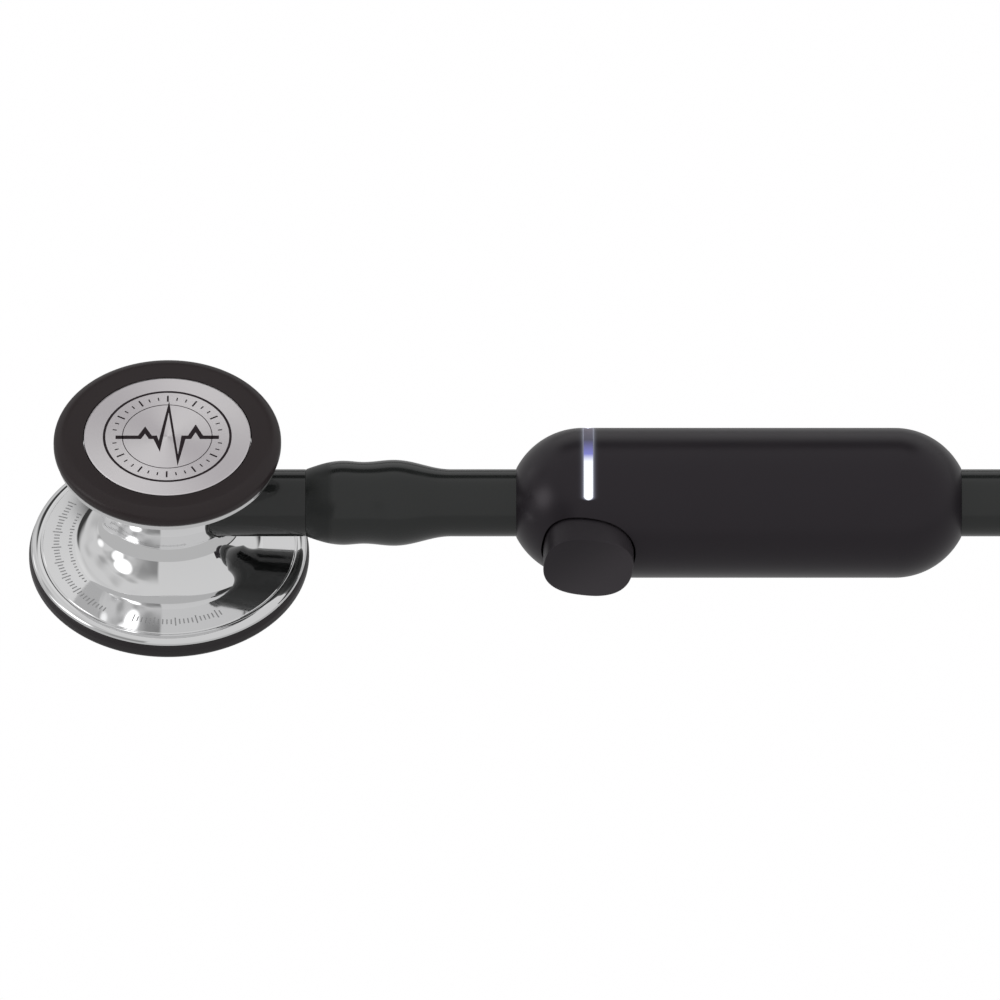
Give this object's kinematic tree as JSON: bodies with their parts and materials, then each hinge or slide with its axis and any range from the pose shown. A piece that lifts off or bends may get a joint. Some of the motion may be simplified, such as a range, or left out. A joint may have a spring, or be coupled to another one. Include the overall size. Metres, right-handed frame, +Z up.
{
  "type": "electronic stethoscope",
  "caption": "Electronic stethoscope with a double-sided swivelling chestpiece, a capsule-shaped amplifier module with button and light strip, looped tubing and a binaural headset.",
  "frame": {"origin": "centre of the large side's diaphragm face, which lies on the table", "axes": "+Z up along the chestpiece's axis, +X along the stem and the module away from the chestpiece, +Y towards the headset; the mode button faces -Y"},
  "size_m": [0.306, 0.2733, 0.0302],
  "materials": {
    "polished_metal": "polished",
    "brushed_disc": "circular brushed",
    "rim_rubber": "satin",
    "diaphragm_plastic": "fine matt",
    "black_coated_metal": "semi-gloss",
    "spring_steel": "plain",
    "seal_rubber": "plain",
    "tubing": "semi-gloss",
    "module_plastic": "soft-touch matt",
    "button_plastic": "fine matt",
    "light_window": "frosted",
    "circuit": "solder mask",
    "black_component": "moulded",
    "white_component": "moulded",
    "battery_foil": "foil",
    "inner_plastic": "moulded",
    "metal_can": "plain",
    "screw_steel": "blackened",
    "ear_tube_metal": "semi-gloss",
    "ferrule_metal": "satin",
    "eartip_silicone": "soft"
  },
  "bodies": {
    "module": {"housing": "module_plastic", "bottom_cover": "module_plastic", "cover_seal": "seal_rubber", "cover_screws": "screw_steel", "light_pipe": "light_window", "led_board": "circuit", "indicator_leds": "white_component", "circuit_board": "circuit", "radio_chip": "black_component", "battery": "battery_foil", "acoustic_duct": "inner_plastic", "inlet_connector": "inner_plastic", "outlet_connector": "inner_plastic", "microphone": "metal_can", "speaker": "black_component", "button_guide": "inner_plastic", "button_spring": "spring_steel", "switch_board": "circuit", "mode_switch": "black_component", "charging_socket": "metal_can", "volume_switches": "black_component"},
    "mode_button": {"mode_button": "button_plastic"},
    "volume_up_button": {"volume_up_button": "button_plastic"},
    "volume_down_button": {"volume_down_button": "button_plastic"},
    "stem": {"stem": "black_coated_metal", "stem_seal": "seal_rubber", "retaining_ring": "spring_steel", "chest_tube": "tubing"},
    "chestpiece": {"chestpiece_body": "polished_metal", "large_rim": "rim_rubber", "small_rim": "rim_rubber", "detent_ball": "spring_steel", "detent_spring": "spring_steel"},
    "large_diaphragm": {"large_diaphragm": "diaphragm_plastic"},
    "small_diaphragm": {"small_diaphragm": "diaphragm_plastic", "small_badge": "brushed_disc"},
    "headset": {"y_tubing": "tubing", "leaf_spring": "spring_steel"},
    "right_ear": {"right_ear_tube": "ear_tube_metal", "right_ear_ferrule": "ferrule_metal", "right_eartip": "eartip_silicone"},
    "left_ear": {"left_ear_tube": "ear_tube_metal", "left_ear_ferrule": "ferrule_metal", "left_eartip": "eartip_silicone"}
  },
  "joints": [
    {"name": "chest_tube_bend", "type": "hinge", "parent": "module", "child": "stem", "pos_m": [0.0525, 0, 0.0143], "axis": [0, 1, 0], "range_deg": [-12, 12], "stiffness_Nm_per_rad": 0.19, "deforming": ["chest_tube"]},
    {"name": "chestpiece_swivel", "type": "hinge", "parent": "stem", "child": "chestpiece", "pos_m": [0, 0, 0.0143], "axis": [1, 0, 0], "continuous": true},
    {"name": "large_diaphragm_press", "type": "slide", "parent": "chestpiece", "child": "large_diaphragm", "axis": [0, 0, 1], "range_m": [0, 0.0004], "stiffness_N_per_m": 250},
    {"name": "small_diaphragm_press", "type": "slide", "parent": "chestpiece", "child": "small_diaphragm", "axis": [0, 0, -1], "range_m": [0, 0.0004], "stiffness_N_per_m": 250},
    {"name": "mode_button_press", "type": "slide", "parent": "module", "child": "mode_button", "axis": [0, 1, 0], "range_m": [0, 0.0012], "stiffness_N_per_m": 120, "springref_m": -0.004, "deforming": ["button_spring"]},
    {"name": "volume_up_press", "type": "slide", "parent": "module", "child": "volume_up_button", "axis": [0, -1, 0], "range_m": [0, 0.0005], "stiffness_N_per_m": 20, "springref_m": -0.01},
    {"name": "volume_down_press", "type": "slide", "parent": "module", "child": "volume_down_button", "axis": [0, -1, 0], "range_m": [0, 0.0005], "stiffness_N_per_m": 20, "springref_m": -0.01},
    {"name": "main_tube_bend", "type": "hinge", "parent": "module", "child": "headset", "pos_m": [0.2421, 0.097, 0.0056], "axis": [0, 0, 1], "range_deg": [-30, 8], "stiffness_Nm_per_rad": 0.03, "deforming": ["y_tubing"]},
    {"name": "right_ear_spread", "type": "hinge", "parent": "headset", "child": "right_ear", "pos_m": [0.153, 0.1758, 0.0056], "axis": [0, 0, 1], "range_deg": [-3, 18], "stiffness_Nm_per_rad": 1.2, "deforming": ["y_tubing", "leaf_spring"]},
    {"name": "left_ear_spread", "type": "hinge", "parent": "headset", "child": "left_ear", "pos_m": [0.153, 0.2122, 0.0056], "axis": [0, 0, 1], "range_deg": [-18, 3], "stiffness_Nm_per_rad": 1.2, "deforming": ["y_tubing", "leaf_spring"]}
  ],
  "couplings": [
    {"joint": "left_ear_spread", "follows": "right_ear_spread", "ratio": -1}
  ]
}
